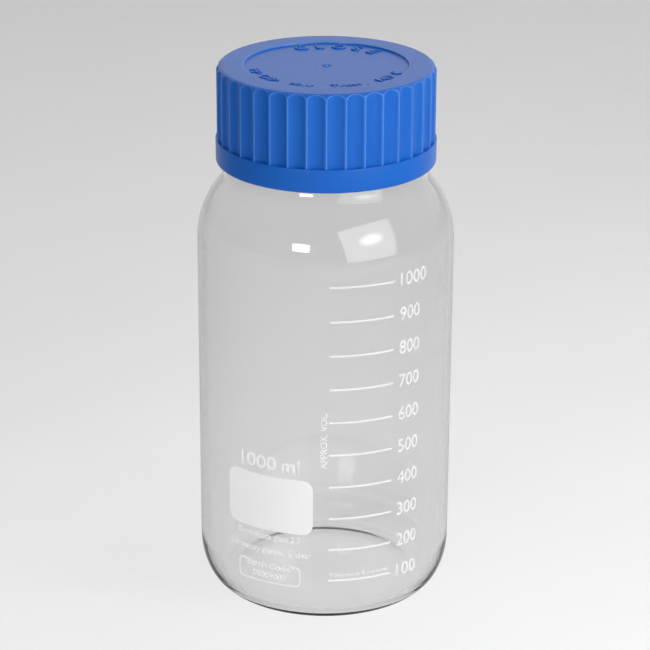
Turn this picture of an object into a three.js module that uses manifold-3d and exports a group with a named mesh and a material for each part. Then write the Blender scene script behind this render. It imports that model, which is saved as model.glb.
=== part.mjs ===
// Wide-neck laboratory bottle, 1000 ml, with a quick-release screw cap.
//
// Millimetres, +Z up. The base stands on z = 0 and everything is centred on the Z axis.
// The printed scale faces -Y. An azimuth of 0 looks out along -Y, and grows towards +X.

import * as THREE from "three";
import { mergeVertices } from "three/addons/utils/BufferGeometryUtils.js";
import Module from "manifold-3d";

const wasm = await Module();
wasm.setup();

const degrees = Math.PI / 180;

// ---------------------------------------------------------------- driving dimensions

// Glass bottle: outer body, wall, and the heights of its stations.
const bodyRadius = 50.5;
const wall = 2.3;
const boreRadius = bodyRadius - wall;
const bottleFacets = 60;
const neckRadius = 37.5;
const neckBore = 34.4;
const rimTop = 211.5;

// Quick-release thread: four starts, each a short helical ridge.
const threadStarts = 4;
const threadLead = 12;
const startPitch = threadLead / threadStarts;

// Screw cap: skirt edge, plain band and top of the shell.
const capBottom = 178.1;
const bandTop = 187.5;
const capTop = 216.4;
const capBore = 39.7;
const ridgeRadius = 42.4;
const bandRadius = 42.9;
const fluteCount = 36;
const plateUnderside = 214;

// Printed scale: the 100 ml line, the step above it, and what each later step gains. The mean
// step, 13.7 mm, is the height of 100 ml in a bore of this radius.
const lowestLine = 20.35;
const firstStep = 13.37;
const stepGain = 0.08;

// ---------------------------------------------------------------- geometry helpers

// A solid of revolution about Z. The profile is a list of [radius, height] pairs that
// starts and ends on the axis, or closes on itself.
function revolve(profile, facets) {
  const points = profile.map(([radius, height]) => new THREE.Vector2(radius, height));
  return new THREE.LatheGeometry(points, facets).rotateX(Math.PI / 2);
}

// Points on an ellipse-like arc: centre, half-widths, and the angles it runs between.
// A squareness of 2 is a true ellipse, and more makes the corner fuller.
function arc(centre, width, height, from, to, steps, squareness = 2) {
  const power = 2 / squareness;
  const bend = (value) => Math.sign(value) * Math.abs(value) ** power;
  return Array.from({ length: steps + 1 }, (unused, index) => {
    const angle = (from + ((to - from) * index) / steps) * degrees;
    return [
      centre[0] + width * bend(Math.cos(angle)),
      centre[1] + height * bend(Math.sin(angle)),
    ];
  });
}

function toManifold(geometry) {
  const bare = geometry.index ? geometry.toNonIndexed() : geometry.clone();
  bare.deleteAttribute("normal");
  bare.deleteAttribute("uv");
  const merged = mergeVertices(bare, 1e-4);
  return new wasm.Manifold(
    new wasm.Mesh({
      numProp: 3,
      vertProperties: new Float32Array(merged.attributes.position.array),
      triVerts: new Uint32Array(merged.index.array),
    }),
  );
}

function toGeometry(solid) {
  const mesh = solid.getMesh();
  const geometry = new THREE.BufferGeometry();
  geometry.setAttribute("position", new THREE.BufferAttribute(new Float32Array(mesh.vertProperties), 3));
  geometry.setIndex(new THREE.BufferAttribute(new Uint32Array(mesh.triVerts), 1));
  return geometry;
}

// A closed solid through a row of sections that all have the same number of corners.
// Each section is a list of [x, y, z] corners, turning the same way round.
function loft(sections) {
  const corners = sections[0].length;
  const positions = sections.flat(2);
  const triangles = [];
  for (let row = 0; row + 1 < sections.length; row += 1) {
    for (let side = 0; side < corners; side += 1) {
      const a = row * corners + side;
      const b = row * corners + ((side + 1) % corners);
      triangles.push(a, b + corners, b, a, a + corners, b + corners);
    }
  }
  const last = (sections.length - 1) * corners;
  for (let side = 1; side + 1 < corners; side += 1) {
    triangles.push(0, side, side + 1);
    triangles.push(last, last + side + 1, last + side);
  }
  const geometry = new THREE.BufferGeometry();
  geometry.setAttribute("position", new THREE.Float32BufferAttribute(positions, 3));
  geometry.setIndex(triangles);
  return geometry;
}

// One ridge of a thread: a trapezium swept up a helix. "foot" is the radius it is rooted
// at, "crest" the radius it reaches. The ridge fades in and out over its first and last step.
function threadRidge({ foot, crest, footHeight, crestHeight, startAngle, arcAngle, startZ, steps }) {
  const sections = [];
  for (let index = 0; index <= steps; index += 1) {
    const turned = (arcAngle * index) / steps;
    const angle = (startAngle + turned) * degrees;
    const middle = startZ + (threadLead * turned) / 360;
    const faded = index === 0 || index === steps;
    const reach = faded ? foot + (crest - foot) * 0.45 : crest;
    const tip = faded ? crestHeight * 0.6 : crestHeight;
    const corners = [
      [foot, middle - footHeight / 2],
      [reach, middle - tip / 2],
      [reach, middle + tip / 2],
      [foot, middle + footHeight / 2],
    ];
    if (crest < foot) corners.reverse();
    sections.push(corners.map(([radius, z]) => [radius * Math.cos(angle), radius * Math.sin(angle), z]));
  }
  return toManifold(loft(sections));
}

function place(radius, azimuth, z) {
  return [radius * Math.sin(azimuth * degrees), -radius * Math.cos(azimuth * degrees), z];
}

// ---------------------------------------------------------------- glass bottle

// The shoulder is a round arc, then a straight cone, then a hollow fillet that turns it up
// into the neck. The length of the cone follows from the two radii that it joins.
const shoulderStart = 146.8;
const shoulderRound = 34.8;
const shoulderLean = 37.5;
const neckFillet = 14;

function shoulderAndNeck({ radius, neck, round, fillet }) {
  const roundSteps = 6;
  const filletSteps = 4;
  const shoulder = arc([radius - round, shoulderStart], round, round, 0, shoulderLean, roundSteps);
  const end = shoulder[roundSteps];
  const filletStart = neck + fillet * (1 - Math.cos(shoulderLean * degrees));
  const coneRise = (end[0] - filletStart) / Math.tan(shoulderLean * degrees);
  const neckStart = end[1] + coneRise + fillet * Math.sin(shoulderLean * degrees);
  const turn = arc([neck + fillet, neckStart], fillet, fillet, 180 + shoulderLean, 180, filletSteps);
  return [...shoulder, ...turn];
}

const heelWidth = 9.6;
const heelHeight = 19;
const footWidth = 4;
const pushUp = 2.2;
const floorThickness = 3;

function bottleProfile() {
  const footOuter = bodyRadius - heelWidth;
  const footInner = footOuter - footWidth;
  const outside = [
    [0, pushUp],
    [footInner * 0.55, pushUp * 0.86],
    [footInner * 0.85, pushUp * 0.4],
    [footInner, 0],
    ...arc([footOuter, heelHeight], heelWidth, heelHeight, -90, 0, 6, 1.9),
    ...shoulderAndNeck({ radius: bodyRadius, neck: neckRadius, round: shoulderRound, fillet: neckFillet }),
  ];
  // Above the thread the neck steps in, so that the pouring ring stays inside the cap's thread.
  const spoutRadius = 36.2;
  const rimRound = (spoutRadius - neckBore) / 2;
  const rim = [
    [neckRadius, 205.8],
    [spoutRadius, 207.1],
    ...arc([neckBore + rimRound, rimTop - rimRound], rimRound, rimRound, 0, 180, 4),
  ];
  const inside = [
    ...shoulderAndNeck({
      radius: boreRadius,
      neck: neckBore,
      round: shoulderRound - wall,
      fillet: neckFillet + neckRadius - neckBore,
    }).reverse(),
    ...arc([40.2, floorThickness + 17.1], boreRadius - 40.2, 17.1, 0, -90, 5, 1.9),
    [28, floorThickness + 0.9],
    [0, floorThickness + 2.1],
  ];
  return [...outside, ...rim, ...inside];
}

function bottle() {
  let solid = toManifold(revolve(bottleProfile(), bottleFacets));
  for (let start = 0; start < threadStarts; start += 1) {
    const ridge = threadRidge({
      foot: neckRadius - 0.6,
      crest: 39.1,
      footHeight: 1.7,
      crestHeight: 0.7,
      startAngle: (360 / threadStarts) * start,
      arcAngle: 150,
      startZ: 193.5,
      steps: 15,
    });
    solid = solid.add(ridge);
  }
  return toGeometry(solid);
}

// ---------------------------------------------------------------- pouring ring

// A soft ring that snaps over the rim: a skirt outside, a lip across the top and a thin
// drip edge that hangs into the mouth. It keeps 0.3 mm off the glass all round.
function pouringRing() {
  const gap = 0.3;
  const skirtOuter = 37.5;
  const skirtInner = 36.2 + gap;
  const lipInner = neckBore - gap;
  const lipUnder = rimTop + gap;
  const lipTop = lipUnder + 0.6;
  return revolve(
    [
      [skirtInner, 208],
      [skirtOuter, 208],
      [skirtOuter, lipTop - 0.4],
      [skirtOuter - 0.4, lipTop],
      [lipInner - 0.5, lipTop],
      [lipInner - 0.9, lipTop - 0.5],
      [lipInner - 0.5, 209.4],
      [lipInner, 209.4],
      [lipInner, lipUnder],
      [skirtInner, lipUnder],
      [skirtInner, 208],
    ],
    bottleFacets,
  );
}

// ---------------------------------------------------------------- cap seal

// The flat disc that the cap presses on the pouring ring.
const sealTop = plateUnderside - 0.3;
const sealBottom = rimTop + 0.3 + 0.6 + 0.3;
const sealRadius = 38.7;

function capSeal() {
  return revolve(
    [
      [0, sealBottom],
      [sealRadius, sealBottom],
      [sealRadius, sealTop],
      [0, sealTop],
    ],
    bottleFacets,
  );
}

// ---------------------------------------------------------------- screw cap

function capShell() {
  const topEdge = ridgeRadius - 40.1;
  const recessRadius = 32.2;
  const recessFloor = capTop - 0.5;
  const bandChamfer = 1.1;
  return revolve(
    [
      [0, plateUnderside],
      [capBore - 0.8, plateUnderside],
      [capBore, plateUnderside - 0.8],
      [capBore, capBottom + 0.8],
      [capBore + 0.5, capBottom],
      [bandRadius - bandChamfer, capBottom],
      [bandRadius - 0.3, capBottom + 0.45],
      [bandRadius, capBottom + bandChamfer + 0.2],
      [bandRadius, bandTop - 0.2],
      [bandRadius - 0.2, bandTop],
      [ridgeRadius, bandTop],
      ...arc([ridgeRadius - topEdge, capTop - topEdge], topEdge, topEdge, 0, 90, 4),
      [recessRadius + 0.3, capTop],
      [recessRadius, recessFloor],
      // the moulding gate: a shallow dish with a small nib left in the middle
      [1.7, recessFloor],
      [1.2, recessFloor - 0.4],
      [0.45, recessFloor - 0.4],
      [0, recessFloor + 0.1],
    ],
    fluteCount * 2,
  );
}

// The finger flutes are upright hollows, cut by a ring of round bars. A bar's radius
// follows from the width and depth of the hollow it leaves.
function fluteCutters() {
  const ridgeLand = 0.5;
  const depth = 1.1;
  const halfWidth = (ridgeRadius * Math.sin((180 / fluteCount) * degrees)) - ridgeLand / 2;
  const chordDrop = ridgeRadius - Math.sqrt(ridgeRadius ** 2 - halfWidth ** 2);
  const sagitta = depth - chordDrop;
  const barRadius = (halfWidth ** 2 + sagitta ** 2) / (2 * sagitta);
  const barAxis = ridgeRadius - depth + barRadius;
  const barHeight = 40;
  const firstRidge = -0.7;
  const bars = [];
  for (let flute = 0; flute < fluteCount; flute += 1) {
    const azimuth = firstRidge + ((flute + 0.5) * 360) / fluteCount;
    const bar = new THREE.CylinderGeometry(barRadius, barRadius, barHeight, 30);
    bar.rotateX(Math.PI / 2);
    bar.rotateZ(azimuth * degrees);
    bar.translate(...place(barAxis, azimuth, bandTop + barHeight / 2));
    bars.push(toManifold(bar));
  }
  return wasm.Manifold.union(bars);
}

function screwCap() {
  let solid = toManifold(capShell()).subtract(fluteCutters());
  for (let start = 0; start < threadStarts; start += 1) {
    const ridge = threadRidge({
      foot: capBore + 0.5,
      crest: 37.95,
      footHeight: 1.7,
      crestHeight: 0.6,
      startAngle: (360 / threadStarts) * start + 8,
      arcAngle: 130,
      startZ: 193.5 + (threadLead * 8) / 360 - startPitch / 2,
      steps: 13,
    });
    solid = solid.add(ridge);
  }
  return toGeometry(solid);
}

// ---------------------------------------------------------------- fired enamel

const enamelGap = 0.06;
const enamelThickness = 0.15;
const facetAngle = 360 / bottleFacets;

// The bottle's wall is flat between its facet edges, so a print that lies on it has to
// follow the same flats: this is the wall's distance from the axis at an azimuth.
function wallRadius(azimuth) {
  const fromMiddle = azimuth - (Math.floor(azimuth / facetAngle) + 0.5) * facetAngle;
  return (bodyRadius * Math.cos((facetAngle / 2) * degrees)) / Math.cos(fromMiddle * degrees);
}

// A printed bar: from one azimuth to another, between two heights, bent round the wall.
function printedBar(from, to, low, high) {
  const azimuths = [from];
  for (let edge = Math.ceil(from / facetAngle) * facetAngle; edge < to; edge += facetAngle) {
    azimuths.push(edge);
  }
  azimuths.push(to);
  const sections = azimuths.map((azimuth) => {
    const inner = wallRadius(azimuth) + enamelGap;
    const outer = inner + enamelThickness;
    return [
      place(inner, azimuth, low),
      place(outer, azimuth, low),
      place(outer, azimuth, high),
      place(inner, azimuth, high),
    ];
  });
  return loft(sections);
}

const lineHeight = 0.75;
const lineFrom = 1.2;
const lineTo = 30.4;

function graduation(step) {
  const level = lowestLine + step * firstStep + ((step * (step - 1)) / 2) * stepGain;
  return printedBar(lineFrom, lineTo, level - lineHeight / 2, level + lineHeight / 2);
}

// The writing field is a rounded rectangle, cut out of a band of enamel on the wall.
function writingField() {
  const middle = -27.1;
  const halfAngle = 21.3;
  const low = 39.8;
  const high = 63.2;
  const cornerRadius = 4.4;
  const halfWidth = bodyRadius * Math.sin(halfAngle * degrees);
  const halfHeight = (high - low) / 2;
  const outline = new THREE.Shape();
  outline.moveTo(-halfWidth + cornerRadius, -halfHeight);
  outline.absarc(halfWidth - cornerRadius, -halfHeight + cornerRadius, cornerRadius, -Math.PI / 2, 0);
  outline.absarc(halfWidth - cornerRadius, halfHeight - cornerRadius, cornerRadius, 0, Math.PI / 2);
  outline.absarc(-halfWidth + cornerRadius, halfHeight - cornerRadius, cornerRadius, Math.PI / 2, Math.PI);
  outline.absarc(-halfWidth + cornerRadius, -halfHeight + cornerRadius, cornerRadius, Math.PI, Math.PI * 1.5);
  const stamp = new THREE.ExtrudeGeometry(outline, { depth: 30, bevelEnabled: false, curveSegments: 6 });
  stamp.rotateX(Math.PI / 2);
  stamp.translate(0, -30, 0);
  stamp.rotateZ(middle * degrees);
  stamp.translate(0, 0, (low + high) / 2);
  const band = printedBar(middle - halfAngle - 4, middle + halfAngle + 4, low - 1, high + 1);
  return toGeometry(toManifold(band).intersect(toManifold(stamp)));
}

// ---------------------------------------------------------------- assembly

const borosilicate = new THREE.MeshStandardMaterial({
  color: 0xd3d5d6,
  roughness: 0.05,
  metalness: 0,
  transparent: true,
  opacity: 0.35,
});
const enamel = new THREE.MeshStandardMaterial({ color: 0xf1f1ee, roughness: 0.55, metalness: 0 });
const bluePolypropylene = new THREE.MeshStandardMaterial({ color: 0x1c62c4, roughness: 0.42, metalness: 0 });
const ringPolypropylene = new THREE.MeshStandardMaterial({ color: 0x2a6dcb, roughness: 0.4, metalness: 0 });
const silicone = new THREE.MeshStandardMaterial({ color: 0xe9e7e1, roughness: 0.6, metalness: 0 });

function piece(name, geometry, material) {
  geometry.computeVertexNormals();
  const mesh = new THREE.Mesh(geometry, material);
  mesh.name = name;
  return mesh;
}

const printed = new THREE.Group();
printed.add(piece("writing_field", writingField(), enamel));
for (let step = 0; step < 10; step += 1) {
  printed.add(piece(`graduation_${(step + 1) * 100}`, graduation(step), enamel));
}

const glassware = new THREE.Group();
glassware.add(piece("bottle", bottle(), borosilicate), printed);
glassware.add(piece("pouring_ring", pouringRing(), ringPolypropylene));

const closure = new THREE.Group();
closure.add(piece("cap_seal", capSeal(), silicone));
closure.add(piece("screw_cap", screwCap(), bluePolypropylene));

const assembly = new THREE.Group();
assembly.add(glassware, closure);

export default assembly;
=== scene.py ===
import math

import bmesh
import bpy
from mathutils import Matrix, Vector


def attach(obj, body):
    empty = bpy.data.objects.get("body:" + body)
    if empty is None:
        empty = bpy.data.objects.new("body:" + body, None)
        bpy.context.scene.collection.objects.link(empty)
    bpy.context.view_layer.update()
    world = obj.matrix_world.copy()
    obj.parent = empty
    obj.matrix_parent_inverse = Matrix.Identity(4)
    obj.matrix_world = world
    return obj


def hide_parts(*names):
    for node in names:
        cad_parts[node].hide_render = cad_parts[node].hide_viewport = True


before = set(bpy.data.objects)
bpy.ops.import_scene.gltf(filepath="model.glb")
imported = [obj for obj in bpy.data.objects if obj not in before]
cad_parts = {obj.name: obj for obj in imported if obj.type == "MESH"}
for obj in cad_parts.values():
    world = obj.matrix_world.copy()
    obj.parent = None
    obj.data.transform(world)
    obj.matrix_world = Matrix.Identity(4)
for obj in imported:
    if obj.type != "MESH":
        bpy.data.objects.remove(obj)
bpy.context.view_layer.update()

# ---------------------------------------------------------------- camera
# A long lens about a metre away, a little above the cap and looking down at the middle of
# the bottle, so the sunk disc of the cap and the far edge of the base can both be seen.
mm = 0.001
camera_data = bpy.data.cameras.new("camera")
camera_data.lens = 143.4
camera_data.sensor_width = 36
camera_data.shift_x = 0.0483
camera_data.shift_y = -0.0083
camera_data.clip_start = 0.05
camera = bpy.data.objects.new("camera", camera_data)
camera.location = (-12.6 * mm, -960.2 * mm, 491.0 * mm)
camera.rotation_euler = (math.radians(90 - 21.602), 0, 0)
bpy.context.scene.collection.objects.link(camera)
bpy.context.scene.camera = camera

# ---------------------------------------------------------------- table and light
# A pale matt table in a light tent: one wide softbox to the front right with a brighter
# middle, a small one to the front left, and a pale roof and back wall.


def rgb(hex_colour):
    """An sRGB hex colour as linear red, green, blue and alpha."""
    channels = [int(hex_colour[place:place + 2], 16) / 255 for place in (0, 2, 4)]
    linear = [c / 12.92 if c <= 0.04045 else ((c + 0.055) / 1.055) ** 2.4 for c in channels]
    return (*linear, 1.0)


def node(tree, kind, inputs=(), **settings):
    """Adds a node with its settings, and sets each input or links it to its source."""
    made = tree.nodes.new(kind)
    for setting, value in settings.items():
        setattr(made, setting, value)
    for socket, source in dict(inputs).items():
        if isinstance(source, bpy.types.Node):
            source = source.outputs[0]
        if isinstance(source, bpy.types.NodeSocket):
            tree.links.new(source, made.inputs[socket])
        else:
            made.inputs[socket].default_value = source
    return made


def surface(name):
    """A new material with its tree, its principled shader and its Object coordinates."""
    material = bpy.data.materials.new(name)
    material.use_nodes = True
    tree = material.node_tree
    tree.nodes.clear()
    shader = node(tree, "ShaderNodeBsdfPrincipled")
    node(tree, "ShaderNodeOutputMaterial", {"Surface": shader})
    place = node(tree, "ShaderNodeTexCoord").outputs["Object"]
    return material, tree, shader, place


# matt painted board: a faint mottle, so that it isn't one flat tone
painted_board, tree, shader, place = surface("matt_painted_board")
mottle = node(tree, "ShaderNodeTexNoise", {"Vector": place, "Scale": 1 / (60 * mm), "Detail": 3.0})
tone = node(tree, "ShaderNodeMix", {0: mottle, 6: rgb("F5F5F5"), 7: rgb("F8F8F8")}, data_type="RGBA")
tree.links.new(tone.outputs[2], shader.inputs["Base Color"])
shader.inputs["Roughness"].default_value = 0.85
shader.inputs["Specular IOR Level"].default_value = 0.2

table_mesh = bpy.data.meshes.new("table")
reach = 40.0
# the bottle stands on it with a hair's breadth of air under the foot ring
drop = -0.15 * mm
corners = [(x * reach, y * reach, drop) for x, y in ((-1, -1), (1, -1), (1, 1), (-1, 1))]
table_mesh.from_pydata(corners, [], [(0, 1, 2, 3)])
table_mesh.materials.append(painted_board)
table = bpy.data.objects.new("table", table_mesh)
bpy.context.scene.collection.objects.link(table)
# the camera's side of the room is dark, so the cap and the glass don't mirror the table there
table.visible_glossy = False

surround = bpy.data.worlds.new("pale_surround")
surround.use_nodes = True
bpy.context.scene.world = surround
background = surround.node_tree.nodes["Background"]
background.inputs["Color"].default_value = rgb("FAFAFA")
# brightest overhead and towards the back, and dim in front, where the room is dark
dim_strength = 0.06
full_strength = 1.0
tree = surround.node_tree
direction = node(tree, "ShaderNodeTexCoord").outputs["Generated"]
roof = Vector((0.25, 0.83, 0.5)).normalized()
facing = node(tree, "ShaderNodeVectorMath", {0: direction, 1: roof}, operation="DOT_PRODUCT")
glow = node(
    tree, "ShaderNodeMapRange",
    {0: facing.outputs["Value"], 1: -0.2, 2: 1.0, 3: dim_strength, 4: full_strength},
)
tree.links.new(glow.outputs[0], background.inputs["Strength"])

bottle_middle = Vector((0, 0, 110 * mm))


def softbox(name, azimuth, elevation, distance, width, height, power):
    """A lamp that faces the bottle: degrees round from the front and up, metres and watts."""
    across = math.radians(azimuth)
    up = math.radians(elevation)
    away = Vector((math.sin(across) * math.cos(up), -math.cos(across) * math.cos(up), math.sin(up)))
    data = bpy.data.lights.new(name, "AREA")
    data.shape = "RECTANGLE"
    data.size = width
    data.size_y = height
    data.energy = power
    lamp = bpy.data.objects.new(name, data)
    lamp.location = bottle_middle + away * distance
    lamp.rotation_euler = (-away).to_track_quat("-Z", "Y").to_euler()
    bpy.context.scene.collection.objects.link(lamp)
    return lamp


softbox("wide_softbox", azimuth=41, elevation=23, distance=1.35, width=1.2, height=1.05, power=10)
# the lamp behind the wide softbox's cloth glows through its middle and fades outwards: ovals of
# growing width, one behind the other, each of the same brightness
glow_flatness = 0.6
glow_brightness = 2.7
for ring in range(6):
    glow_width = 0.16 + 0.085 * ring
    oval = softbox(
        f"glow_{ring}", azimuth=43, elevation=25.5, distance=1.33 - 0.004 * ring,
        width=glow_width, height=glow_width * glow_flatness,
        power=glow_brightness * glow_width * glow_width * glow_flatness,
    )
    oval.data.shape = "ELLIPSE"

# a lamp far round to the right that shapes the cap, shielded so that the glass doesn't mirror it
side_lamp = softbox("side_lamp", azimuth=58, elevation=30, distance=1.4, width=0.5, height=0.5, power=5.5)
side_lamp.visible_glossy = False
side_lamp.visible_transmission = False

softbox("small_softbox", azimuth=-23, elevation=19.5, distance=1.35, width=0.34, height=0.21, power=4.5)

bpy.context.scene.view_settings.view_transform = "Standard"

# ---------------------------------------------------------------- glass bottle
# A pressed and blown borosilicate bottle with a wall of 2.3 mm. Its base is pushed up inside a
# flat foot ring, and its neck carries a coarse four-start thread under a fire-polished rim.


def new_object(name, mesh):
    made = bpy.data.objects.new(name, mesh)
    bpy.context.scene.collection.objects.link(made)
    return made


def arc(centre, width, height, start, end, steps, squareness=2.0):
    """Points on an ellipse-like arc in millimetres; a squareness over 2 makes a fuller corner."""
    points = []
    for step in range(steps + 1):
        angle = math.radians(start + (end - start) * step / steps)
        across = math.copysign(abs(math.cos(angle)) ** (2 / squareness), math.cos(angle))
        up = math.copysign(abs(math.sin(angle)) ** (2 / squareness), math.sin(angle))
        points.append((centre[0] + width * across, centre[1] + height * up))
    return points


def stations(radius, low, high, step):
    """Points up an upright wall, close enough together to carry a thread or flutes."""
    count = max(1, round(abs(high - low) / step))
    return [(radius, low + (high - low) * index / count) for index in range(count + 1)]


# The tree turns a profile round the Z axis. Rows marked "threaded" carry the ridges of a
# multi-start thread, rows marked "fluted" are hollowed by a ring of upright round bars, and
# rows marked "edge" get a painted highlight.
turned_tree = bpy.data.node_groups.new("turned_part", "GeometryNodeTree")
interface = turned_tree.interface
interface.new_socket(name="Turned", in_out="OUTPUT", socket_type="NodeSocketGeometry")
interface.new_socket(name="Profile", in_out="INPUT", socket_type="NodeSocketGeometry")
turned_inputs = {
    "Steps Round": ("NodeSocketInt", 240),
    "Thread Starts": ("NodeSocketFloat", 4.0),
    "Thread Lead": ("NodeSocketFloat", 12 * mm),
    "Thread Height": ("NodeSocketFloat", 193.5 * mm),
    "Thread Azimuth": ("NodeSocketFloat", 90.0),
    "Thread Arc": ("NodeSocketFloat", 150.0),
    "Thread Reach": ("NodeSocketFloat", 0.0),
    "Foot Half Width": ("NodeSocketFloat", 0.85 * mm),
    "Crest Half Width": ("NodeSocketFloat", 0.35 * mm),
    "Flutes": ("NodeSocketFloat", 36.0),
    "First Ridge": ("NodeSocketFloat", 0.0),
    "Bar Axis": ("NodeSocketFloat", 1.0),
    "Bar Radius": ("NodeSocketFloat", 0.5),
    "Ridge Softness": ("NodeSocketFloat", 0.3 * mm),
    "Material": ("NodeSocketMaterial", None),
}
for socket_name, (kind, value) in turned_inputs.items():
    made = interface.new_socket(name=socket_name, in_out="INPUT", socket_type=kind)
    if value is not None:
        made.default_value = value

tree = turned_tree
given = node(tree, "NodeGroupInput").outputs
rows = node(tree, "GeometryNodeAttributeDomainSize", {0: given["Profile"]}).outputs["Point Count"]
columns = node(tree, "ShaderNodeMath", {0: given["Steps Round"], 1: 1.0}, operation="ADD")
grid = node(
    tree, "GeometryNodeMeshGrid",
    {"Size X": 1.0, "Size Y": 1.0, "Vertices X": columns, "Vertices Y": rows},
)
sheet = node(tree, "ShaderNodeSeparateXYZ", {0: node(tree, "GeometryNodeInputPosition")})
last_row = node(tree, "ShaderNodeMath", {0: rows, 1: 1.0}, operation="SUBTRACT")
along = node(tree, "ShaderNodeMath", {0: sheet.outputs[1], 1: 0.5}, operation="ADD")
row = node(tree, "ShaderNodeMath", {0: along, 1: last_row}, operation="MULTIPLY")
row = node(tree, "ShaderNodeMath", {0: row}, operation="ROUND")
around = node(tree, "ShaderNodeMath", {0: sheet.outputs[0], 1: 0.5}, operation="ADD")
azimuth = node(tree, "ShaderNodeMath", {0: around, 1: 360.0}, operation="MULTIPLY")

corner = node(
    tree, "GeometryNodeSampleIndex",
    {"Geometry": given["Profile"], "Value": node(tree, "GeometryNodeInputPosition"), "Index": row},
    data_type="FLOAT_VECTOR",
)
marked = {}
for mark in ("threaded", "fluted", "edge"):
    value = node(tree, "GeometryNodeInputNamedAttribute", {"Name": mark}, data_type="FLOAT")
    marked[mark] = node(
        tree, "GeometryNodeSampleIndex", {"Geometry": given["Profile"], "Value": value, "Index": row},
        data_type="FLOAT",
    )
corner = node(tree, "ShaderNodeSeparateXYZ", {0: corner})
radius = corner.outputs[0]
height = corner.outputs[2]

# how far this point is, up the axis, from the middle of the nearest thread ridge
risen = node(tree, "ShaderNodeMath", {0: height, 1: given["Thread Height"]}, operation="SUBTRACT")
climb = node(tree, "ShaderNodeMath", {0: risen, 1: given["Thread Lead"]}, operation="DIVIDE")
climb = node(tree, "ShaderNodeMath", {0: climb, 1: 360.0}, operation="MULTIPLY")
from_start = node(tree, "ShaderNodeMath", {0: azimuth, 1: given["Thread Azimuth"]}, operation="SUBTRACT")
lag = node(tree, "ShaderNodeMath", {0: climb, 1: from_start}, operation="SUBTRACT")
half_start = node(tree, "ShaderNodeMath", {0: 180.0, 1: given["Thread Starts"]}, operation="DIVIDE")
less_half = node(tree, "ShaderNodeMath", {0: half_start, 1: -1.0}, operation="MULTIPLY")
lag = node(tree, "ShaderNodeMath", {0: lag, 1: half_start, 2: less_half}, operation="WRAP")
lag_height = node(tree, "ShaderNodeMath", {0: lag, 1: 360.0}, operation="DIVIDE")
lag_height = node(tree, "ShaderNodeMath", {0: lag_height, 1: given["Thread Lead"]}, operation="MULTIPLY")
lag_height = node(tree, "ShaderNodeMath", {0: lag_height}, operation="ABSOLUTE")
ridge = node(
    tree, "ShaderNodeMapRange",
    {0: lag_height, 1: given["Crest Half Width"], 2: given["Foot Half Width"], 3: 1.0, 4: 0.0},
    interpolation_type="SMOOTHSTEP",
)
turned = node(tree, "ShaderNodeMath", {0: climb, 1: lag}, operation="SUBTRACT")
# each ridge fades in and out over this many degrees
fade = 8.0
fade_in = node(
    tree, "ShaderNodeMapRange", {0: turned, 1: 0.0, 2: fade, 3: 0.0, 4: 1.0},
    interpolation_type="SMOOTHSTEP",
)
left = node(tree, "ShaderNodeMath", {0: given["Thread Arc"], 1: turned}, operation="SUBTRACT")
fade_out = node(
    tree, "ShaderNodeMapRange", {0: left, 1: 0.0, 2: fade, 3: 0.0, 4: 1.0},
    interpolation_type="SMOOTHSTEP",
)
ridge = node(tree, "ShaderNodeMath", {0: ridge, 1: fade_in}, operation="MULTIPLY")
ridge = node(tree, "ShaderNodeMath", {0: ridge, 1: fade_out}, operation="MULTIPLY")
ridge = node(tree, "ShaderNodeMath", {0: ridge, 1: given["Thread Reach"]}, operation="MULTIPLY")
ridge = node(tree, "ShaderNodeMath", {0: ridge, 1: marked["threaded"]}, operation="MULTIPLY")
with_thread = node(tree, "ShaderNodeMath", {0: radius, 1: ridge}, operation="ADD")

# how far out the nearest upright bar lets the wall stand at this azimuth
half_flute = node(tree, "ShaderNodeMath", {0: 180.0, 1: given["Flutes"]}, operation="DIVIDE")
less_flute = node(tree, "ShaderNodeMath", {0: half_flute, 1: -1.0}, operation="MULTIPLY")
aside = node(tree, "ShaderNodeMath", {0: azimuth, 1: given["First Ridge"]}, operation="SUBTRACT")
aside = node(tree, "ShaderNodeMath", {0: aside, 1: half_flute}, operation="SUBTRACT")
aside = node(tree, "ShaderNodeMath", {0: aside, 1: half_flute, 2: less_flute}, operation="WRAP")
aside = node(tree, "ShaderNodeMath", {0: aside}, operation="RADIANS")
bar_near = node(tree, "ShaderNodeMath", {0: aside}, operation="COSINE")
bar_near = node(tree, "ShaderNodeMath", {0: bar_near, 1: given["Bar Axis"]}, operation="MULTIPLY")
bar_side = node(tree, "ShaderNodeMath", {0: aside}, operation="SINE")
bar_side = node(tree, "ShaderNodeMath", {0: bar_side, 1: given["Bar Axis"]}, operation="MULTIPLY")
bar_square = node(tree, "ShaderNodeMath", {0: given["Bar Radius"], 1: 2.0}, operation="POWER")
side_square = node(tree, "ShaderNodeMath", {0: bar_side, 1: bar_side}, operation="MULTIPLY")
depth = node(tree, "ShaderNodeMath", {0: bar_square, 1: side_square}, operation="SUBTRACT")
depth = node(tree, "ShaderNodeMath", {0: depth}, operation="SQRT")
hollow = node(tree, "ShaderNodeMath", {0: bar_near, 1: depth}, operation="SUBTRACT")
cut = node(
    tree, "ShaderNodeMath", {0: with_thread, 1: hollow, 2: given["Ridge Softness"]},
    operation="SMOOTH_MIN",
)
final_radius = node(tree, "ShaderNodeMix", {0: marked["fluted"], 2: with_thread, 3: cut}, data_type="FLOAT")
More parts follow.
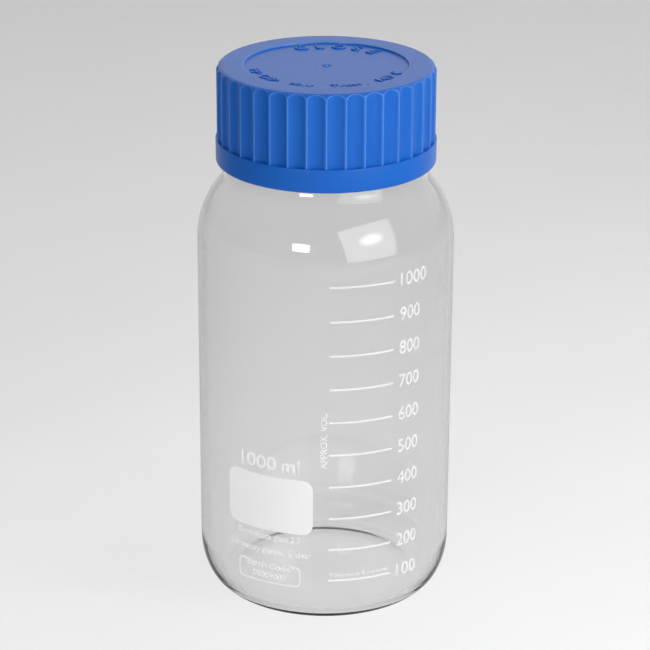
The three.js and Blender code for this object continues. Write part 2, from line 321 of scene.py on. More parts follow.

# the edges that get a painted highlight: both sides of each ridge, the arch at the top of each
# flute, and the rows that the profile names
between = node(tree, "ShaderNodeMath", {0: with_thread, 1: hollow}, operation="SUBTRACT")
between = node(tree, "ShaderNodeMath", {0: between}, operation="ABSOLUTE")
flute_edge = node(
    tree, "ShaderNodeMapRange", {0: between, 1: 0.03 * mm, 2: 0.17 * mm, 3: 1.0, 4: 0.0},
    interpolation_type="SMOOTHSTEP",
)
flute_edge = node(tree, "ShaderNodeMath", {0: flute_edge, 1: marked["fluted"]}, operation="MULTIPLY")
painted_edge_highlight = node(tree, "ShaderNodeMath", {0: flute_edge, 1: marked["edge"]}, operation="MAXIMUM")

turn = node(tree, "ShaderNodeMath", {0: azimuth}, operation="RADIANS")
east = node(tree, "ShaderNodeMath", {0: turn}, operation="SINE")
east = node(tree, "ShaderNodeMath", {0: east, 1: final_radius}, operation="MULTIPLY")
north = node(tree, "ShaderNodeMath", {0: turn}, operation="COSINE")
north = node(tree, "ShaderNodeMath", {0: north, 1: final_radius}, operation="MULTIPLY")
north = node(tree, "ShaderNodeMath", {0: north, 1: -1.0}, operation="MULTIPLY")
point = node(tree, "ShaderNodeCombineXYZ", {0: east, 1: north, 2: height})
body = node(
    tree, "GeometryNodeStoreNamedAttribute", {"Geometry": grid, "Name": "painted_edge_highlight", "Value": painted_edge_highlight},
    data_type="FLOAT", domain="POINT",
)
body = node(tree, "GeometryNodeSetPosition", {"Geometry": body, "Position": point})
body = node(tree, "GeometryNodeMergeByDistance", {"Geometry": body, "Distance": 0.001 * mm})
body = node(tree, "GeometryNodeRealizeInstances", {0: body})
body = node(tree, "GeometryNodeSetMaterial", {"Geometry": body, "Material": given["Material"]})
node(tree, "NodeGroupOutput", {0: body})


def grow(name, mesh, tree, inputs):
    """Runs a geometry tree over a mesh and returns its result as a plain mesh object."""
    start = new_object(name + "_start", mesh)
    modifier = start.modifiers.new(tree.name, "NODES")
    modifier.node_group = tree
    sockets = {item.name: item.identifier for item in tree.interface.items_tree if item.in_out == "INPUT"}
    for socket_name, value in inputs.items():
        modifier[sockets[socket_name]] = value
    graph = bpy.context.evaluated_depsgraph_get()
    graph.update()
    result = bpy.data.meshes.new_from_object(start.evaluated_get(graph))
    result.name = name
    bpy.data.objects.remove(start)
    return new_object(name, result)


def turn_part(name, profile, material, sharp_angle=35.0, **inputs):
    """Turns (radius, height, threaded, fluted, edge) rows, in millimetres, into a closed solid."""
    rows = [tuple(point) + (0.0,) * (5 - len(point)) for point in profile]
    mesh = bpy.data.meshes.new(name + "_profile")
    mesh.from_pydata([(row[0] * mm, 0, row[1] * mm) for row in rows], [], [])
    for place, mark in enumerate(("threaded", "fluted", "edge"), start=2):
        values = mesh.attributes.new(mark, "FLOAT", "POINT").data
        values.foreach_set("value", [row[place] for row in rows])
    inputs = {key.replace("_", " ").title(): value for key, value in inputs.items()}
    made = grow(name, mesh, turned_tree, {**inputs, "Material": material})
    made.data.shade_smooth()
    made.data.set_sharp_from_angle(angle=math.radians(sharp_angle))
    return made


# borosilicate glass, pressed and blown, then fire polished: clear and faintly grey, with the
# slow waviness that a mould leaves and a very slight haze from washing
borosilicate, tree, shader, place = surface("fire_polished_borosilicate_glass")
shader.inputs["Base Color"].default_value = rgb("FBFBFB")
shader.inputs["Transmission Weight"].default_value = 1.0
shader.inputs["IOR"].default_value = 1.473
depth_of_glass = node(tree, "ShaderNodeVolumeAbsorption", {"Color": rgb("2E3030"), "Density": 28.0})
tree.links.new(depth_of_glass.outputs[0], tree.nodes["Material Output"].inputs["Volume"])
haze = node(tree, "ShaderNodeTexNoise", {"Vector": place, "Scale": 1 / (9 * mm), "Detail": 4.0})
haze = node(tree, "ShaderNodeMapRange", {0: haze, 1: 0.4, 2: 0.8, 3: 0.0, 4: 0.008})
tree.links.new(haze.outputs[0], shader.inputs["Roughness"])
stretched = node(tree, "ShaderNodeMapping", {"Vector": place, "Scale": (1.0, 1.0, 0.35)})
wave = node(tree, "ShaderNodeTexNoise", {"Vector": stretched, "Scale": 1 / (24 * mm), "Detail": 1.0})
wave = node(tree, "ShaderNodeBump", {"Height": wave, "Strength": 0.3, "Distance": 0.04 * mm})
tree.links.new(wave.outputs[0], shader.inputs["Normal"])

body_radius = 50.5
wall = 2.3
neck_radius = 37.5
neck_bore = 34.4
rim_top = 211.5
shoulder_start = 146.8
shoulder_round = 34.8
# degrees between the straight part of the shoulder and the upright
shoulder_lean = 37.5
neck_fillet = 14.0


def shoulder_and_neck(radius, neck, round_radius, fillet):
    """Up the shoulder: a round arc, a straight cone, and a hollow fillet into the neck."""
    shoulder = arc(
        (radius - round_radius, shoulder_start), round_radius, round_radius, 0, shoulder_lean, 18,
    )
    lean = math.radians(shoulder_lean)
    across, up = shoulder[-1]
    cone_rise = (across - neck - fillet * (1 - math.cos(lean))) / math.tan(lean)
    neck_start = up + cone_rise + fillet * math.sin(lean)
    return shoulder + arc((neck + fillet, neck_start), fillet, fillet, 180 + shoulder_lean, 180, 12)


heel_width = 9.6
heel_height = 19.0
heel_fullness = 1.9
foot_width = 4.0
foot_outer = body_radius - heel_width
foot_inner = foot_outer - foot_width
push_up = 2.2
floor_thickness = 3.0
inner_heel = 40.2
inner_heel_height = 17.1
# the rise of a ridge in one whole turn, and where the first one starts
thread_lead = 12
thread_height = 193.5
thread_azimuth = 90.0
# the stretch of the neck that the ridges are on
thread_low = 190.5
thread_high = 203.5
neck_top = 205.4
spout_start = 207.4
spout_radius = 36.2
rim_round = (spout_radius - neck_bore) / 2
inner_neck_fillet = neck_fillet + neck_radius - neck_bore

# the pushed-up base, in shares of the foot ring's inner radius and of the push-up
push_up_curve = [(0, 1), (0.3, 0.97), (0.55, 0.86), (0.72, 0.66), (0.85, 0.4), (0.94, 0.17), (1, 0)]
outside = [(foot_inner * out, push_up * rise) for out, rise in push_up_curve]
outside += arc((foot_outer, heel_height), heel_width, heel_height, -90, 0, 26, heel_fullness)
outside += shoulder_and_neck(body_radius, neck_radius, shoulder_round, neck_fillet)
outside += [(*point, 1.0) for point in stations(neck_radius, thread_low, thread_high, 0.25)]
outside += [(neck_radius, neck_top), (neck_radius - 0.15, neck_top + 0.5)]
outside += [(spout_radius + 0.15, spout_start - 0.5), (spout_radius, spout_start)]
rim = arc((neck_bore + rim_round, rim_top - rim_round), rim_round, rim_round, 0, 180, 14)
inside = shoulder_and_neck(
    body_radius - wall, neck_bore, shoulder_round - wall, inner_neck_fillet,
)[::-1]
inside += arc(
    (inner_heel, floor_thickness + inner_heel_height),
    body_radius - wall - inner_heel, inner_heel_height, 0, -90, 24, heel_fullness,
)
# the floor rises to the middle: radius, and how far above its edge
floor_curve = [(34, 0.35), (28, 0.9), (18, 1.6), (9, 2.0), (0, 2.1)]
inside += [(out, floor_thickness + rise) for out, rise in floor_curve]

bottle = turn_part(
    "bottle_glass", outside + rim + inside, borosilicate, sharp_angle=60.0, steps_round=240,
    thread_lead=thread_lead * mm, thread_height=thread_height * mm,
    thread_azimuth=thread_azimuth, thread_arc=150.0, thread_reach=1.6 * mm,
)
# clear glass lets nearly all the light through to the table, so it casts no shadow
bottle.visible_shadow = False
bottle.visible_diffuse = False
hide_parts("bottle")
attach(bottle, "glassware")

# ---------------------------------------------------------------- printed scale
# White ceramic enamel, screen printed on the outside of the wall and fired into it: ten
# lines of one length, 100 ml apart, each with its number to the right.

# vitreous enamel: an eggshell white that keeps a fine grain from the screen's mesh, drawn at
# 0.7 mm because the real 0.1 mm mesh is too fine to show
enamel, tree, shader, place = surface("fired_white_enamel")
grain = node(tree, "ShaderNodeTexNoise", {"Vector": place, "Scale": 1 / (0.7 * mm), "Detail": 3.0})
tone = node(tree, "ShaderNodeMix", {0: grain, 6: rgb("DCDCDB"), 7: rgb("E2E2E1")}, data_type="RGBA")
tree.links.new(tone.outputs[2], shader.inputs["Base Color"])
grip = node(tree, "ShaderNodeMapRange", {0: grain, 1: 0.3, 2: 0.7, 3: 0.42, 4: 0.62})
tree.links.new(grip.outputs[0], shader.inputs["Roughness"])
pits = node(tree, "ShaderNodeBump", {"Height": grain, "Strength": 0.35, "Distance": 0.02 * mm})
tree.links.new(pits.outputs[0], shader.inputs["Normal"])
# the fired film is thin enough to glow with the light that comes through the glass behind it
shader.inputs["Subsurface Weight"].default_value = 1.0
shader.inputs["Subsurface Radius"].default_value = (1.0 * mm, 1.0 * mm, 1.0 * mm)
shader.inputs["Subsurface Scale"].default_value = 1.0

line_count = 10
print_lift = 0.02
print_thickness = 0.1
lowest_line = 20.35
first_step = 13.37
step_gain = 0.08
# where the lines begin and end, in degrees round the wall from the front
line_from = 1.2
line_to = 30.4
line_height = 0.75

# The tree stands a row of flat bars up the wall, each step a little taller than the last, and
# bends them round it.
scale_tree = bpy.data.node_groups.new("printed_lines", "GeometryNodeTree")
interface = scale_tree.interface
interface.new_socket(name="Lines", in_out="OUTPUT", socket_type="NodeSocketGeometry")
for socket_name, kind in {
    "Count": "NodeSocketInt",
    "Lowest": "NodeSocketFloat",
    "First Step": "NodeSocketFloat",
    "Step Gain": "NodeSocketFloat",
    "Line Height": "NodeSocketFloat",
    "From": "NodeSocketFloat",
    "To": "NodeSocketFloat",
    "Inner Radius": "NodeSocketFloat",
    "Thickness": "NodeSocketFloat",
    "Material": "NodeSocketMaterial",
}.items():
    interface.new_socket(name=socket_name, in_out="INPUT", socket_type=kind)

tree = scale_tree
given = node(tree, "NodeGroupInput").outputs
marks = node(tree, "GeometryNodeMeshLine", {"Count": given["Count"], "Offset": (0.0, 0.0, 0.0)})
index = node(tree, "GeometryNodeInputIndex")
before = node(tree, "ShaderNodeMath", {0: index, 1: 1.0}, operation="SUBTRACT")
pairs = node(tree, "ShaderNodeMath", {0: index, 1: before}, operation="MULTIPLY")
pairs = node(tree, "ShaderNodeMath", {0: pairs, 1: 0.5}, operation="MULTIPLY")
gained = node(tree, "ShaderNodeMath", {0: pairs, 1: given["Step Gain"]}, operation="MULTIPLY")
level = node(tree, "ShaderNodeMath", {0: index, 1: given["First Step"]}, operation="MULTIPLY")
level = node(tree, "ShaderNodeMath", {0: level, 1: gained}, operation="ADD")
level = node(tree, "ShaderNodeMath", {0: level, 1: given["Lowest"]}, operation="ADD")
level = node(tree, "ShaderNodeCombineXYZ", {2: level})
marks = node(tree, "GeometryNodeSetPosition", {"Geometry": marks, "Position": level})
bar_size = node(tree, "ShaderNodeCombineXYZ", {0: 1.0, 1: 1.0, 2: given["Line Height"]})
bar = node(
    tree, "GeometryNodeMeshCube",
    {"Size": bar_size, "Vertices X": 33, "Vertices Y": 2, "Vertices Z": 2},
)
bars = node(tree, "GeometryNodeInstanceOnPoints", {"Points": marks, "Instance": bar})
bars = node(tree, "GeometryNodeRealizeInstances", {0: bars})
flat = node(tree, "ShaderNodeSeparateXYZ", {0: node(tree, "GeometryNodeInputPosition")})
angle = node(
    tree, "ShaderNodeMapRange",
    {0: flat.outputs[0], 1: -0.5, 2: 0.5, 3: given["From"], 4: given["To"]},
)
angle = node(tree, "ShaderNodeMath", {0: angle}, operation="RADIANS")
outward = node(tree, "ShaderNodeMath", {0: 0.5, 1: flat.outputs[1]}, operation="SUBTRACT")
outward = node(tree, "ShaderNodeMath", {0: outward, 1: given["Thickness"]}, operation="MULTIPLY")
outward = node(tree, "ShaderNodeMath", {0: outward, 1: given["Inner Radius"]}, operation="ADD")
east = node(tree, "ShaderNodeMath", {0: angle}, operation="SINE")
east = node(tree, "ShaderNodeMath", {0: east, 1: outward}, operation="MULTIPLY")
north = node(tree, "ShaderNodeMath", {0: angle}, operation="COSINE")
north = node(tree, "ShaderNodeMath", {0: north, 1: outward}, operation="MULTIPLY")
north = node(tree, "ShaderNodeMath", {0: north, 1: -1.0}, operation="MULTIPLY")
point = node(tree, "ShaderNodeCombineXYZ", {0: east, 1: north, 2: flat.outputs[2]})
bars = node(tree, "GeometryNodeSetPosition", {"Geometry": bars, "Position": point})
bars = node(tree, "GeometryNodeRealizeInstances", {0: bars})
bars = node(tree, "GeometryNodeSetMaterial", {"Geometry": bars, "Material": given["Material"]})
node(tree, "NodeGroupOutput", {0: bars})

scale_lines = grow("scale_lines", bpy.data.meshes.new("scale_lines_start"), scale_tree, {
    "Count": line_count,
    "Lowest": lowest_line * mm,
    "First Step": first_step * mm,
    "Step Gain": step_gain * mm,
    "Line Height": line_height * mm,
    "From": line_from,
    "To": line_to,
    "Inner Radius": (body_radius + print_lift) * mm,
    "Thickness": print_thickness * mm,
    "Material": enamel,
})
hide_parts(*[f"graduation_{(line + 1) * 100}" for line in range(line_count)])
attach(scale_lines, "glassware")


def lettering(text, cap_height, length=None, weight=0.0):
    """Flat lettering in the XZ plane, from x = 0, with its baseline on z = 0.

    The height of its capitals and its length are in millimetres.
    """
    curve = bpy.data.curves.new(text, "FONT")
    curve.body = text
    curve.offset = weight
    curve.resolution_u = 4
    start = new_object("lettering_start", curve)
    bpy.context.view_layer.update()
    graph = bpy.context.evaluated_depsgraph_get()
    flat = bpy.data.meshes.new_from_object(start.evaluated_get(graph))
    bpy.data.objects.remove(start)
    sample = bpy.data.curves.new("H", "FONT")
    sample.body = "H"
    start = new_object("lettering_start", sample)
    bpy.context.view_layer.update()
    full_height = start.dimensions.y
    bpy.data.objects.remove(start)
    scale = cap_height * mm / full_height
    low = min(vertex.co.x for vertex in flat.vertices)
    wide = (max(vertex.co.x for vertex in flat.vertices) - low) * scale
    stretch = 1.0 if length is None else length * mm / wide
    for vertex in flat.vertices:
        vertex.co = Vector(((vertex.co.x - low) * scale * stretch, 0.0, vertex.co.y * scale))
    return flat


def wrap_on_wall(flat, azimuth, height, upright=False, thickness=print_thickness):
    """Cuts a flat print into narrow strips, then bends it round the wall as a thin solid.

    It starts at this azimuth, in degrees, and its baseline is at this height, in millimetres.
    """
    if upright:
        for vertex in flat.vertices:
            vertex.co = Vector((-vertex.co.z, 0.0, vertex.co.x))
    shell = bmesh.new()
    shell.from_mesh(flat)
    bmesh.ops.remove_doubles(shell, verts=shell.verts, dist=0.001 * mm)
    low = min(vertex.co.x for vertex in shell.verts)
    high = max(vertex.co.x for vertex in shell.verts)
    strip = 0.8 * mm
    for index in range(1, int((high - low) / strip) + 1):
        parts = shell.verts[:] + shell.edges[:] + shell.faces[:]
        knife = (low + index * strip, 0, 0)
        bmesh.ops.bisect_plane(shell, geom=parts, plane_co=knife, plane_no=(1, 0, 0))
    radius = (body_radius + print_lift) * mm
    for vertex in shell.verts:
        angle = math.radians(azimuth) + vertex.co.x / radius
        level = height * mm + vertex.co.z
        vertex.co = Vector((radius * math.sin(angle), -radius * math.cos(angle), level))
    bmesh.ops.triangulate(shell, faces=shell.faces[:])
    bmesh.ops.recalc_face_normals(shell, faces=shell.faces[:])
    outward = 0.0
    for face in shell.faces:
        middle = face.calc_center_median()
        outward += face.normal.dot(Vector((middle.x, middle.y, 0)))
    if outward < 0:
        bmesh.ops.reverse_faces(shell, faces=shell.faces[:])
    front = shell.faces[:]
    raised = bmesh.ops.extrude_face_region(shell, geom=front)
    for item in raised["geom"]:
        if isinstance(item, bmesh.types.BMVert):
            away = Vector((item.co.x, item.co.y, 0)).normalized()
            item.co += away * thickness * mm
    bmesh.ops.recalc_face_normals(shell, faces=shell.faces[:])
    shell.to_mesh(flat)
    shell.free()
    return flat


def join_meshes(name, meshes, material):
    """One object out of several meshes, all of one material."""
    joined = bmesh.new()
    for mesh in meshes:
        joined.from_mesh(mesh)
        bpy.data.meshes.remove(mesh)
    mesh = bpy.data.meshes.new(name)
    joined.to_mesh(mesh)
    joined.free()
    mesh.materials.append(material)
    return new_object(name, mesh)


def print_piece(name, meshes):
    made = join_meshes(name, meshes, enamel)
    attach(made, "glassware")
    return made


number_height = 5.2
number_from = 33.6
three_figures = 10.1
four_figures = 13.4
number_weight = 0.01
# the numbers stand a little above the middle of their lines
number_rise = 0.2
numbers = []
for line in range(line_count):
    volume = (line + 1) * 100
    number_length = three_figures if volume < 1000 else four_figures
    figure = lettering(str(volume), number_height, number_length, number_weight)
    level = lowest_line + line * first_step + line * (line - 1) / 2 * step_gain
    numbers.append(wrap_on_wall(figure, number_from, level - number_height / 2 + number_rise))
print_piece("scale_numbers", numbers)

# ---------------------------------------------------------------- writing field and small print
# The same enamel: a rounded field that takes pencil, the nominal volume above it, and small
# lines about the glass below it, with a framed batch code.

# where the middle of the field is and how far it reaches to each side, in degrees
field_middle = -27.1
field_half = 21.3
field_low = 39.8
field_high = 63.2
field_corner = 4.4


def rounded_rectangle(half_width, half_height, corner):
    """A flat mesh about the origin, in the XZ plane, each corner rounded in twelve steps."""
    points = []
    for quarter, (side, up) in enumerate(((1, -1), (1, 1), (-1, 1), (-1, -1))):
        for step in range(13):
            turn = math.radians(-90 + 90 * quarter + 90 * step / 12)
            x = side * (half_width - corner) + corner * math.cos(turn)
            z = up * (half_height - corner) + corner * math.sin(turn)
            points.append((x * mm, 0.0, z * mm))
    mesh = bpy.data.meshes.new("rounded_rectangle")
    mesh.from_pydata(points, [], [tuple(range(len(points)))])
    return mesh


half_width = math.radians(field_half) * body_radius
half_height = (field_high - field_low) / 2
field = rounded_rectangle(half_width, half_height, field_corner)
field = wrap_on_wall(field, field_middle, (field_low + field_high) / 2)
writing_field = print_piece("writing_field_print", [field])
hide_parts("writing_field")

bold = 0.02
nominal = [
    wrap_on_wall(lettering("1000", 5.4, 16.4, bold), -41.2, 66.1),
    wrap_on_wall(lettering("ml", 5.4, 7.5, bold), -20.3, 66.1),
]
print_piece("nominal_volume", nominal)
medium = 0.016
note = wrap_on_wall(lettering("APPROX. VOL.", 2.6, 23.6, medium), 0.3, 68.6, upright=True)
print_piece("scale_note", [note])


def open_frame(half_width, half_height, corner, line, hook):
    """A frame like a tray, open at the top, whose two ends turn inwards in short arrowheads."""
    quarter = [math.radians(90 * step / 8) for step in range(9)]
    left_half = [(hook + corner, 0.0), (corner, 0.0)]
    left_half += [(corner - corner * math.sin(turn), corner * math.cos(turn) - corner) for turn in quarter]
    left_half += [(0.0, corner - 2 * half_height)]
    left_half += [
        (corner - corner * math.cos(turn), corner - 2 * half_height - corner * math.sin(turn))
        for turn in quarter
    ]
    left_half += [(half_width, -2 * half_height)]
    spine = [(x - half_width, half_height + z) for x, z in left_half]
    spine += [(-x, z) for x, z in spine[-2::-1]]
    outer = []
    inner = []
    for place, (x, z) in enumerate(spine):
        before = spine[max(place - 1, 0)]
        after = spine[min(place + 1, len(spine) - 1)]
        run = Vector((after[0] - before[0], after[1] - before[1])).normalized() * line / 2
        outer.append(((x - run.y) * mm, 0.0, (z + run.x) * mm))
        inner.append(((x + run.y) * mm, 0.0, (z - run.x) * mm))
    corners = outer + inner
    count = len(outer)
    faces = [(i, i + 1, count + i + 1, count + i) for i in range(count - 1)]
    # an arrowhead at each end: half its width, and its length towards the middle
    barb = 0.8
    for (x, z), length in ((spine[0], 1.7), (spine[-1], -1.7)):
        first = len(corners)
        corners += [(x * mm, 0.0, (z + barb) * mm), (x * mm, 0.0, (z - barb) * mm)]
        corners += [((x + length) * mm, 0.0, z * mm)]
        faces.append((first, first + 1, first + 2) if length < 0 else (first, first + 2, first + 1))
    mesh = bpy.data.meshes.new("open_frame")
    mesh.from_pydata(corners, [], faces)
    return mesh


thin = 0.05
fine = 0.018
# words, the height of their capitals, their length, the azimuth where they start, and the
# height of their baseline
small_lines = [
    ("Borosilicate glass 3.3", 2.5, 27.4, -42.7, 35.8),
    ("Laboratory glassware, clear", 2.4, 36.0, -47.3, 29.7),
    ("Batch Code", 2.5, 19.0, -37.7, 23.0),
    ("00000000", 2.4, 14.6, -34.7, 18.8),
    ("Tolerance 5 percent", 1.6, 24.6, 1.5, 21.9),
]
small_print = []
for words, cap_height, length, start, baseline in small_lines:
    flat = lettering(words, cap_height, length, fine)
    small_print.append(wrap_on_wall(flat, start, baseline, thickness=thin))
code_frame = open_frame(half_width=13.5, half_height=4.1, corner=2.0, line=0.5, hook=0.4)
small_print.append(wrap_on_wall(code_frame, -26.9, 21.0, thickness=thin))
print_piece("small_print", small_print)

# ---------------------------------------------------------------- pouring ring
# A soft blue polypropylene ring, snapped over the rim before the cap goes on. Its drip edge
# hangs into the mouth and sheds the last drop.

# injection-moulded polypropylene: an even satin blue with a spark-eroded grain, drawn
# at 0.5 mm because the real 0.1 mm grain is too fine to show
ring_plastic, tree, shader, place = surface("blue_polypropylene_ring")
grain = node(tree, "ShaderNodeTexNoise", {"Vector": place, "Scale": 1 / (0.5 * mm), "Detail": 2.0})
tone = node(tree, "ShaderNodeMix", {0: grain, 6: rgb("1E62C2"), 7: rgb("276BCC")}, data_type="RGBA")
tree.links.new(tone.outputs[2], shader.inputs["Base Color"])
grip = node(tree, "ShaderNodeMapRange", {0: grain, 1: 0.3, 2: 0.7, 3: 0.3, 4: 0.4})
tree.links.new(grip.outputs[0], shader.inputs["Roughness"])
shader.inputs["IOR"].default_value = 1.49

ring_gap = 0.3
ring_bottom = 208
drip_edge = 209.4
ring_outer = 37.5
edge_round = 0.15
lip_round = 0.4
ring_inner = spout_radius + ring_gap
lip_inner = neck_bore - ring_gap
lip_under = rim_top + ring_gap
lip_top = lip_under + 0.6
ring_profile = [(ring_inner, ring_bottom), (ring_outer - edge_round, ring_bottom)]
ring_profile += [(ring_outer, ring_bottom + edge_round)]
ring_profile += arc((ring_outer - lip_round, lip_top - lip_round), lip_round, lip_round, 0, 90, 5)
ring_profile += arc((lip_inner - 0.5, lip_top - lip_round), lip_round, lip_round, 90, 180, 5)
ring_profile += [(lip_inner - 0.5, drip_edge), (lip_inner - edge_round, drip_edge)]
ring_profile += [(lip_inner, drip_edge + edge_round), (lip_inner, lip_under)]
ring_profile += [(ring_inner, lip_under), (ring_inner, ring_bottom)]
pouring_ring = turn_part("pouring_ring_moulding", ring_profile, ring_plastic, steps_round=192)
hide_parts("pouring_ring")
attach(pouring_ring, "glassware")

# ---------------------------------------------------------------- cap seal
# A flat disc of white silicone rubber that lies loose under the top of the cap, moulded with
# two shallow round grooves, the outer one over the pouring ring's inner edge.

# cured silicone: milky, soft-looking and matt, with a bloom of talc
silicone, tree, shader, place = surface("white_silicone_rubber")
bloom = node(tree, "ShaderNodeTexNoise", {"Vector": place, "Scale": 1 / (6 * mm), "Detail": 5.0})
tone = node(tree, "ShaderNodeMix", {0: bloom, 6: rgb("E4E2DB"), 7: rgb("F0EEE8")}, data_type="RGBA")
tree.links.new(tone.outputs[2], shader.inputs["Base Color"])
shader.inputs["Roughness"].default_value = 0.6
shader.inputs["Subsurface Weight"].default_value = 0.15
shader.inputs["Subsurface Radius"].default_value = (1.2 * mm, 1.0 * mm, 0.9 * mm)
shader.inputs["Subsurface Scale"].default_value = 1.0

seal_radius = 38.7
seal_bottom = 212.7
seal_top = 213.7
groove = 0.12
seal_profile = [(0, seal_bottom)]
# the radii where each groove's slopes begin and end
for begin, floor_from, floor_to, end in ((12, 12.3, 13.2, 13.5), (32.2, 32.6, 33.2, 33.6)):
    seal_profile += [(begin, seal_bottom), (floor_from, seal_bottom + groove)]
    seal_profile += [(floor_to, seal_bottom + groove), (end, seal_bottom)]
seal_profile += [(seal_radius - edge_round, seal_bottom), (seal_radius, seal_bottom + edge_round)]
seal_profile += [(seal_radius, seal_top - edge_round), (seal_radius - edge_round, seal_top)]
seal_profile += [(0, seal_top)]
cap_seal = turn_part("cap_seal_disc", seal_profile, silicone, steps_round=192)
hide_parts("cap_seal")
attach(cap_seal, "seal")

# ---------------------------------------------------------------- screw cap
# One polypropylene moulding: a ring of 36 finger flutes over a plain band, a thread of four
# short ridges inside, and a sunk disc on top with the mark of the gate in its middle.

# injection-moulded polypropylene, deep blue and satin: the skin has a fine even grain, drawn at
# 0.55 mm because the real 0.1 mm grain is too fine to show, the flow of the melt leaves the tone
# very slightly uneven, and a painted highlight makes the edges paler
cap_plastic, tree, shader, place = surface("moulded_blue_polypropylene")
flow = node(tree, "ShaderNodeTexNoise", {"Vector": place, "Scale": 1 / (14 * mm), "Detail": 3.0})
tone = node(tree, "ShaderNodeMix", {0: flow, 6: rgb("0054AE"), 7: rgb("035BB6")}, data_type="RGBA")
# painted highlight: the marked edges are mixed towards a pale blue, standing in for the light they catch
painted_highlight = node(tree, "ShaderNodeAttribute", attribute_name="painted_edge_highlight")
painted_highlight = node(tree, "ShaderNodeMath", {0: painted_highlight.outputs["Fac"], 1: 0.38}, operation="MULTIPLY")
tone = node(tree, "ShaderNodeMix", {0: painted_highlight, 6: tone.outputs[2], 7: rgb("6BA5EE")}, data_type="RGBA")
tree.links.new(tone.outputs[2], shader.inputs["Base Color"])
grain = node(tree, "ShaderNodeTexNoise", {"Vector": place, "Scale": 1 / (0.55 * mm), "Detail": 2.0})
grip = node(tree, "ShaderNodeMapRange", {0: grain, 1: 0.3, 2: 0.7, 3: 0.3, 4: 0.4})
tree.links.new(grip.outputs[0], shader.inputs["Roughness"])
skin = node(tree, "ShaderNodeBump", {"Height": grain, "Strength": 0.4, "Distance": 0.03 * mm})
tree.links.new(skin.outputs[0], shader.inputs["Normal"])
shader.inputs["IOR"].default_value = 1.49
shader.inputs["Specular IOR Level"].default_value = 0.42

cap_bottom = 178.1
band_top = 187.5
cap_top = 216.4
cap_bore = 39.7
ridge_radius = 42.4
band_radius = 42.9
flutes = 36
flute_depth = 1.1
ridge_land = 0.5
plate_underside = 214.0
top_edge = ridge_radius - 40.1
recess_radius = 31.7
recess_floor = cap_top - 0.8
bore_round = 0.8
band_round = 1.2
ledge_round = 0.25

# a bar that leaves a hollow of this width and depth between two ridges
hollow_half = ridge_radius * math.sin(math.pi / flutes) - ridge_land / 2
sagitta = flute_depth - (ridge_radius - math.sqrt(ridge_radius ** 2 - hollow_half ** 2))
bar_radius = (hollow_half ** 2 + sagitta ** 2) / (2 * sagitta)
bar_axis = ridge_radius - flute_depth + bar_radius

cap_profile = [(0, plate_underside), (20, plate_underside)]
cap_profile += arc(
    (cap_bore - bore_round, plate_underside - bore_round), bore_round, bore_round, 90, 0, 5,
)
cap_profile += [(*point, 1.0) for point in stations(cap_bore, 200.5, 189.5, 0.4)]
cap_profile += [(cap_bore, cap_bottom + 0.8), (cap_bore + 0.12, cap_bottom + 0.35)]
cap_profile += [(cap_bore + 0.5, cap_bottom)]
cap_profile += arc(
    (band_radius - band_round, cap_bottom + band_round), band_round, band_round, -90, 0, 8,
)
cap_profile += arc(
    (band_radius - ledge_round, band_top - ledge_round), ledge_round, ledge_round, 0, 90, 4,
)
# the flutes start on the band's ledge and run out in the rounded edge of the top
fluted_rows = [(ridge_radius + 0.05, band_top), (ridge_radius, band_top + 0.1)]
fluted_rows += stations(ridge_radius, band_top + 0.6, cap_top - top_edge - 0.3, 8)
fluted_rows += arc((ridge_radius - top_edge, cap_top - top_edge), top_edge, top_edge, 0, 90, 20)
cap_profile += [(*point, 0.0, 1.0) for point in fluted_rows]
cap_profile += [(recess_radius + 1.2, cap_top), (recess_radius + 0.75, cap_top)]
# the lip of the sunk disc is marked for the painted highlight, a little weaker than on the gate's stub
recess_lip = arc((recess_radius + 0.45, cap_top - 0.15), 0.3, 0.15, 90, 180, 4)
cap_profile += [(*point, 0.0, 0.0, 0.8) for point in recess_lip]
cap_profile += [(recess_radius + 0.1, recess_floor + 0.12), (recess_radius, recess_floor)]
cap_profile += [(recess_radius - 0.3, recess_floor), (recess_radius - 1, recess_floor)]
cap_profile += [(24, recess_floor), (12, recess_floor), (4, recess_floor), (2.4, recess_floor)]
# the gate's mark: a small hollow, and in its middle the stub where the plastic flowed in, which
# carries a painted glint
gate_hollow = [(1.9, -0.05), (1.5, -0.35), (1.0, -0.45), (0.8, -0.3)]
gate_stub = [(0.72, 0.1), (0.4, 0.32), (0, 0.36)]
cap_profile += [(out, recess_floor + rise) for out, rise in gate_hollow]
cap_profile += [(out, recess_floor + rise, 0.0, 0.0, 1.0) for out, rise in gate_stub]

# the cap's ridges lie this far under the neck's, and start this many degrees later
cap_thread_below = 1.5
cap_thread_turned = 8
cap_thread_height = thread_height - cap_thread_below + thread_lead * cap_thread_turned / 360

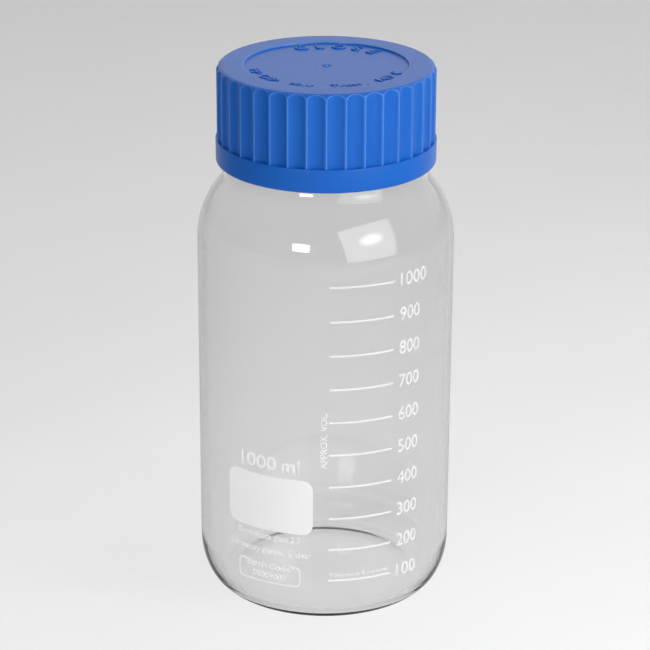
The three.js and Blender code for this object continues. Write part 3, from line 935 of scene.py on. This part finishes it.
cap = turn_part(
    "screw_cap_moulding", cap_profile, cap_plastic, sharp_angle=40.0, steps_round=flutes * 24,
    thread_lead=thread_lead * mm, thread_height=cap_thread_height * mm,
    thread_azimuth=thread_azimuth + cap_thread_turned, thread_arc=130.0, thread_reach=-1.75 * mm,
    crest_half_width=0.3 * mm, flutes=float(flutes), first_ridge=-0.7,
    bar_axis=bar_axis * mm, bar_radius=bar_radius * mm, ridge_softness=0.2 * mm,
)
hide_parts("screw_cap")
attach(cap, "cap")

# ---------------------------------------------------------------- raised lettering on the cap
# Plain words that stand 0.4 mm proud of the sunk disc, moulded in one with the cap: one word
# at the back, and what the cap is made of and the heat it stands at the front.
letter_rise = 0.4
letter_root = 0.15
# the most of its own space that a letter may fill
letter_share = 0.84


def letters_on_ring(text, cap_height, radius, middle, spacing, weight, inward=False):
    """Sets letters one by one on a circle. Inward lettering has its feet on the rim side."""
    meshes = []
    widest = spacing * (len(text) - 1)
    for index, letter in enumerate(text):
        if letter == " ":
            continue
        offset = (index * spacing - widest / 2) / radius
        flat = lettering(letter, cap_height, weight=weight)
        width = max(vertex.co.x for vertex in flat.vertices)
        squeeze = min(1.0, spacing * mm * letter_share / width)
        centre = width / 2
        azimuth = math.radians(middle) + (offset if inward else -offset)
        out = Vector((math.sin(azimuth), -math.cos(azimuth), 0))
        side = Vector((math.cos(azimuth), math.sin(azimuth), 0))
        if not inward:
            side = -side
        up = -out if inward else out
        base = out * radius * mm
        solid = bmesh.new()
        solid.from_mesh(flat)
        bmesh.ops.remove_doubles(solid, verts=solid.verts, dist=0.001 * mm)
        root_height = (recess_floor - letter_root) * mm
        for vertex in solid.verts:
            spot = base + side * (vertex.co.x - centre) * squeeze + up * vertex.co.z
            vertex.co = Vector((spot.x, spot.y, root_height))
        raised = bmesh.ops.extrude_face_region(solid, geom=solid.faces[:])
        for item in raised["geom"]:
            if isinstance(item, bmesh.types.BMVert):
                item.co.z += (letter_root + letter_rise) * mm
        bmesh.ops.recalc_face_normals(solid, faces=solid.faces[:])
        solid.to_mesh(flat)
        solid.free()
        meshes.append(flat)
    return meshes


letters = letters_on_ring("CLOSE", 5.2, 24.4, 169, 6.9, 0.02)
letters += letters_on_ring("PP CAP  Max. Temp. 140 C", 4.1, 30.2, -4, 3.35, 0.0, inward=True)
cap_lettering = join_meshes("cap_lettering", letters, cap_plastic)
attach(cap_lettering, "cap")
